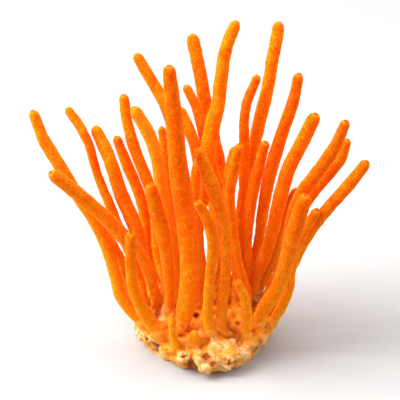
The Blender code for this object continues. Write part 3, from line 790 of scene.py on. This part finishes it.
def grow_club(node, look, finish):
    """One club: a round tube with a rounded tip, a dimple and a grained skin."""
    line, places = club_line(node)
    line[:, 3] *= STOUTER.get(node, 1.0)
    around = 2.0 * math.pi * line[:, 3].max()
    sides = 2 * round(0.5 * around / SIDE_WIDTH_MM)
    club = tube(node + "_flesh", line, sides)
    rough = ROUGHER.get(node, 1.0)
    store(club.data, "from_foot_mm", np.repeat(places, sides))
    stub = node.startswith(STUBS)
    from_tip = np.linalg.norm(corners(club.data) / MM - line[-1, :3], axis=1)
    store(club.data, "from_tip_mm", from_tip + (STUB_TIP_MM if stub else 0.0))
    store(club.data, "rough", np.full(len(club.data.vertices), rough))
    store(club.data, "paler", np.full(len(club.data.vertices), PALER.get(node, 0.0)))
    if not stub:
        press_dimple(club, line, look.dimple)
    push_out(club, "CLOUDS", WOBBLE_SIZE, look.wobble)
    push_out(club, "CLOUDS", DENT_SIZE, look.dents * rough)
    push_out(club, "CLOUDS", GRAIN_SIZE, look.grain * rough)
    pick(club)
    bpy.ops.object.shade_smooth()
    club.data.materials.clear()
    club.data.materials.append(finish)
    wear(club, node)


# --------------------------------------------------------------------- the pad
def pad_start():
    """The pad's solid as a piece of its own, and its surface to place things on."""
    shape = welded("pad")
    mesh = bpy.data.meshes.new("pad_flesh")
    shape.to_mesh(mesh)
    tree = BVHTree.FromBMesh(shape)
    shape.free()
    pad = bpy.data.objects.new("pad_flesh", mesh)
    bpy.context.collection.objects.link(pad)
    return pad, tree


def joined(pieces):
    """Join pieces into the first one, with its place kept in its mesh."""
    pick(*pieces)
    bpy.ops.object.join()
    bpy.ops.object.transform_apply(location=True, rotation=True, scale=True)
    return bpy.context.active_object


def surface_tree(mesh):
    """A mesh's surface to place things on."""
    shape = bmesh.new()
    shape.from_mesh(mesh)
    tree = BVHTree.FromBMesh(shape)
    shape.free()
    return tree


def press_pits(pad, tree):
    """Press the pits and folds into the pad, away from the viewer."""
    places = corners(pad.data)
    across = places @ np.array(ACROSS) / MM
    rise = places @ np.array(UPWARDS) / MM
    towards = places @ np.array(TO_VIEWER) / MM
    push = np.zeros(len(places))
    for pit_across, pit_rise, width, height, depth in PITS_MM:
        seen = on_surface(tree, pit_across, pit_rise)[0].dot(TO_VIEWER) / MM
        away = ((across - pit_across) / width) ** 2 + ((rise - pit_rise) / height) ** 2
        behind = ((seen - towards) / PIT_REACH_MM).clip(0.0)
        push = np.maximum(push, depth * np.exp(-away - behind ** 4))
    move_corners(pad.data, places - np.outer(push * MM, TO_VIEWER))


def club_tree():
    """Where the clubs' flesh is near the pad: a tree of places, and the radius at each."""
    lines = np.vstack([smooth_line(middle_line(node), RING_SPACING_MM) for node in CLUBS])
    lines = lines[lines[:, 2] < CLUBS_MATTER_BELOW_MM]
    tree = KDTree(len(lines))
    for index, place in enumerate(lines[:, :3] * MM):
        tree.insert(place, index)
    tree.balance()
    return tree, lines[:, 3]


def from_clubs(clubs, places):
    """How far in mm each place is from the nearest club's skin."""
    tree, radii = clubs
    found = [tree.find(place) for place in places]
    return np.array([away / MM - radii[index] for _, index, away in found])


def lump(place, normal, width, height, rise):
    """A ball that stands that far out of a surface; sizes in mm."""
    pick()
    sunk = place - normal * (height - rise) * MM
    turned = normal.to_track_quat("Z", "Y").to_euler()
    bpy.ops.mesh.primitive_ico_sphere_add(
        subdivisions=LUMP_DETAIL, radius=1.0, location=sunk, rotation=turned,
        scale=(width * MM, height * MM, height * MM))
    return bpy.context.active_object


def lobes_and_crumbs(tree, clubs):
    """Rounded lobes where they show, and lumps and crumbs all over."""
    lumps = []
    for across, rise, width, height in LOBES_MM:
        lumps.append(lump(*on_surface(tree, across, rise), width, height, LUMP_RISE * height))
    chance = np.random.default_rng(CRUMB_SEED)
    low, high = (np.array(corner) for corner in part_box("pad"))
    middle = Vector((low + high) / 2.0)
    start = Vector((middle.x, middle.y, CRUMB_START_MM * MM))
    smallest, growth = CRUMB_MM
    top_above, top_below = CRUMB_TOP_MM
    for _ in range(CRUMBS):
        way = Vector(chance.normal(size=3))
        way.z = abs(way.z) - CRUMB_LEAN
        way.normalize()
        place, normal, _, _ = tree.ray_cast(start + way * CRUMB_REACH, -way)
        size = smallest + growth * chance.random() ** 2
        if place is None or place.z < CRUMB_LOWEST_MM * MM:
            continue
        if from_clubs(clubs, [place])[0] < CRUMB_CLEARANCE * size:
            continue
        top = top_above if place.z > PAD_SHOULDER_MM * MM else top_below
        lumps.append(lump(place, normal, LUMP_WIDTH * size, size, min(CRUMB_RISE * size, top)))
    return lumps


def come_out(tree, line):
    """The row at which a club's middle line comes out of its socket in the pad."""
    away = [tree.find_nearest(place)[3] / MM for place in line[:, :3] * MM]
    return int((np.array(away) > line[:, 3] * SOLID_ALLOWANCE + SOCKET_GAP_MM).argmax())


def make_collar(node, tree, chance):
    """The pad's flesh round a club's foot: it fills the socket and runs out up the club."""
    stub = node.startswith(STUBS)
    height, width = STUB_COLLAR_MM if stub else COLLAR_MM
    line = smooth_line(middle_line(node), RING_SPACING_MM)
    out = come_out(tree, line)
    above = (np.arange(len(line)) - out) * RING_SPACING_MM / height
    kept = above < 1.0
    line = line[kept]
    foot = Vector(line[min(out, len(line) - 1), :3] * MM)
    flare = (1.0 - above[kept].clip(0.0)) ** 2
    line[:, 3] = line[:, 3] * (COLLAR_TOP + (1.0 - COLLAR_TOP) * flare) + width * flare
    below = line[0].copy()
    below[:3] += FOOT_BELOW_MM * heading_of(line, "foot")
    pieces = [tube("collar", np.vstack([below, line]), COLLAR_SIDES)]
    for _ in range(0 if stub else ROOT_LUMPS):
        turn = 2.0 * math.pi * chance.random()
        away = float(line[0, 3]) * MM * (ROOT_LUMP_AWAY[0] + ROOT_LUMP_AWAY[1] * chance.random())
        beside = foot + away * Vector((math.cos(turn), math.sin(turn), 0.0))
        place, normal, _, _ = tree.find_nearest(beside)
        size = ROOT_LUMP_MM[0] + ROOT_LUMP_MM[1] * chance.random()
        pieces.append(lump(place, normal, LUMP_WIDTH * size, size, LUMP_RISE * size))
    return pieces


def hollows(mesh, rounds):
    """How far each corner lies below its smoothed surroundings, in mm."""
    places = corners(mesh)
    edges = np.empty(len(mesh.edges) * 2, dtype=np.int64)
    mesh.edges.foreach_get("vertices", edges)
    ends = edges.reshape(-1, 2)[:, ::-1].ravel()
    count = np.bincount(edges, minlength=len(places))
    soft = places.T
    for _ in range(rounds):
        soft = np.array([np.bincount(edges, row[ends], len(places)) / count for row in soft])
    soft = soft.T
    normals = np.empty(len(places) * 3)
    mesh.vertices.foreach_get("normal", normals)
    return ((soft - places) * normals.reshape(-1, 3)).sum(axis=1) / MM


def nearness(places, patches, tree):
    """How much each place lies in one of the patches, from 0 to 1."""
    share = np.zeros(len(places))
    for across, rise, radius in patches:
        middle = np.array(on_surface(tree, across, rise)[0])
        away = np.linalg.norm(places - middle, axis=1) / (radius * MM)
        share = np.maximum(share, np.exp(-away ** 4))
    return share


def make_pad(look):
    """The pad: pitted, covered in lobes and crumbs, and grown up round the clubs' feet."""
    pad, tree = pad_start()
    clubs = club_tree()
    lumps = lobes_and_crumbs(tree, clubs)
    chance = np.random.default_rng(CRUMB_SEED)
    collars = [piece for node in CLUBS for piece in make_collar(node, tree, chance)]
    pad = joined([pad, *lumps, *collars])
    pad.name = "pad_flesh"
    melt = pad.modifiers.new("melt", "REMESH")
    melt.mode = "VOXEL"
    melt.voxel_size = look.voxel
    pick(pad)
    bpy.ops.object.modifier_apply(modifier=melt.name)
    whole = surface_tree(pad.data)
    press_pits(pad, whole)
    soften = pad.modifiers.new("soften", "SMOOTH")
    soften.iterations = SOFTEN_ROUNDS
    pick(pad)
    bpy.ops.object.modifier_apply(modifier=soften.name)
    places = corners(pad.data)
    above = (places[:, 2] / (RELIEF_START_MM * MM)).clip(0.0, 1.0)
    near, width = RELIEF_NEAR_MM
    away = ((from_clubs(clubs, places) - near) / width).clip(0.0, 1.0)
    weigh(pad, CRUSTY, above * (RELIEF_AT_CLUB + (1.0 - RELIEF_AT_CLUB) * away))
    for layers, height in ((FOLD_LAYERS, look.folds), (CRUST_LAYERS, look.crust)):
        for pattern, size, share in layers:
            domes = DOMES if pattern == "VORONOI" else {}
            push_out(pad, pattern, size, share * height, CRUSTY, **domes)
    places = corners(pad.data)
    places[:, 2] = places[:, 2].clip(0.0)
    move_corners(pad.data, places)
    store(pad.data, "hollow_mm", hollows(pad.data, HOLLOW_ROUNDS))
    store(pad.data, "crease_mm", hollows(pad.data, CREASE_ROUNDS))
    depth = [(near - Vector(place)).dot(normal) for place in places
             for near, normal, _, _ in [whole.find_nearest(place)]]
    store(pad.data, "depth_mm", np.array(depth) / MM)
    store(pad.data, "from_club_mm", from_clubs(clubs, places))
    store(pad.data, "cream", nearness(places, CREAM_MM, tree))
    store(pad.data, "orange", nearness(places, ORANGE_MM, tree))
    pick(pad)
    bpy.ops.object.shade_smooth()
    pad.data.materials.clear()
    pad.data.materials.append(pad_finish(look))
    wear(pad, "pad")


# ------------------------------------------------------------------- the stage
def add_light(name, place, power, width, height):
    """A soft rectangular light that faces the bunch."""
    pick()
    turned = (Vector(place) - LIGHT_AIM).to_track_quat("Z", "Y").to_euler()
    bpy.ops.object.light_add(type="AREA", location=place, rotation=turned)
    light = bpy.context.active_object
    light.name = name
    light.data.shape = "RECTANGLE"
    light.data.energy = power
    light.data.size = width
    light.data.size_y = height


def set_stage(look):
    """Floor, lights, surroundings and camera."""
    pick()
    bpy.ops.mesh.primitive_circle_add(vertices=FLOOR_SIDES, radius=FLOOR_RADIUS, fill_type="NGON")
    floor = bpy.context.active_object
    floor.name = "floor"
    floor.data.materials.append(floor_finish(look))
    for name, place, size, power in LIGHTS:
        add_light(name, place, getattr(look, power), *size)
    world = bpy.data.worlds.new("surroundings")
    world.use_nodes = True
    background = world.node_tree.nodes["Background"]
    background.inputs["Color"].default_value = WHITE
    background.inputs["Strength"].default_value = look.ambience
    bpy.context.scene.world = world
    bpy.context.scene.view_settings.view_transform = "Standard"
    pick()
    bpy.ops.object.camera_add()
    camera = bpy.context.active_object
    camera.name = "camera"
    camera.data.lens = look.lens
    camera.data.sensor_width = SENSOR_WIDTH_MM
    far = VIEW_WIDTH * look.lens / SENSOR_WIDTH_MM
    camera.location = on_view_plane(*VIEW_MIDDLE_MM) + TO_VIEWER * far
    camera.rotation_euler = TO_VIEWER.to_track_quat("Z", "Y").to_euler()
    camera.data.clip_end = SIGHT * far
    bpy.context.scene.camera = camera


# ------------------------------------------------------------------- operators
class OBJECT_OT_cordyceps_clubs(Operator):
    """Grow every club along its solid"""

    bl_idname = "object.cordyceps_clubs"
    bl_label = "Grow the clubs"

    def execute(self, context):
        look = context.scene.cordyceps_clubs
        finish = club_finish(look)
        for node in CLUBS:
            grow_club(node, look, finish)
        return {"FINISHED"}


class OBJECT_OT_cordyceps_pad(Operator):
    """Make the lumpy pad that the clubs grow from"""

    bl_idname = "object.cordyceps_pad"
    bl_label = "Make the pad"

    def execute(self, context):
        make_pad(context.scene.cordyceps_pad)
        return {"FINISHED"}


class OBJECT_OT_cordyceps_stage(Operator):
    """Lay the floor and set the lights and the camera"""

    bl_idname = "object.cordyceps_stage"
    bl_label = "Set the stage"

    def execute(self, context):
        set_stage(context.scene.cordyceps_stage)
        return {"FINISHED"}


class VIEW3D_PT_cordyceps(Panel):
    """Lists what can be made"""

    bl_label = "Cordyceps bunch"
    bl_space_type = "VIEW_3D"
    bl_region_type = "UI"
    bl_category = "Cordyceps"

    def draw(self, context):
        for settings, operator in STEPS:
            group = getattr(context.scene, settings)
            for name in group.__annotations__:
                self.layout.prop(group, name)
            self.layout.operator(operator)


STEPS = (
    ("cordyceps_clubs", OBJECT_OT_cordyceps_clubs.bl_idname),
    ("cordyceps_pad", OBJECT_OT_cordyceps_pad.bl_idname),
    ("cordyceps_stage", OBJECT_OT_cordyceps_stage.bl_idname),
)
CLASSES = (
    ClubLook,
    PadLook,
    StageLook,
    OBJECT_OT_cordyceps_clubs,
    OBJECT_OT_cordyceps_pad,
    OBJECT_OT_cordyceps_stage,
    VIEW3D_PT_cordyceps,
)


def register():
    for cls in CLASSES:
        bpy.utils.register_class(cls)
    bpy.types.Scene.cordyceps_clubs = PointerProperty(type=ClubLook)
    bpy.types.Scene.cordyceps_pad = PointerProperty(type=PadLook)
    bpy.types.Scene.cordyceps_stage = PointerProperty(type=StageLook)


def unregister():
    del bpy.types.Scene.cordyceps_stage
    del bpy.types.Scene.cordyceps_pad
    del bpy.types.Scene.cordyceps_clubs
    for cls in reversed(CLASSES):
        bpy.utils.unregister_class(cls)


def main():
    """Make everything."""
    register()
    bpy.ops.object.cordyceps_clubs()
    bpy.ops.object.cordyceps_pad()
    bpy.ops.object.cordyceps_stage()


if __name__ == "__main__":
    main()
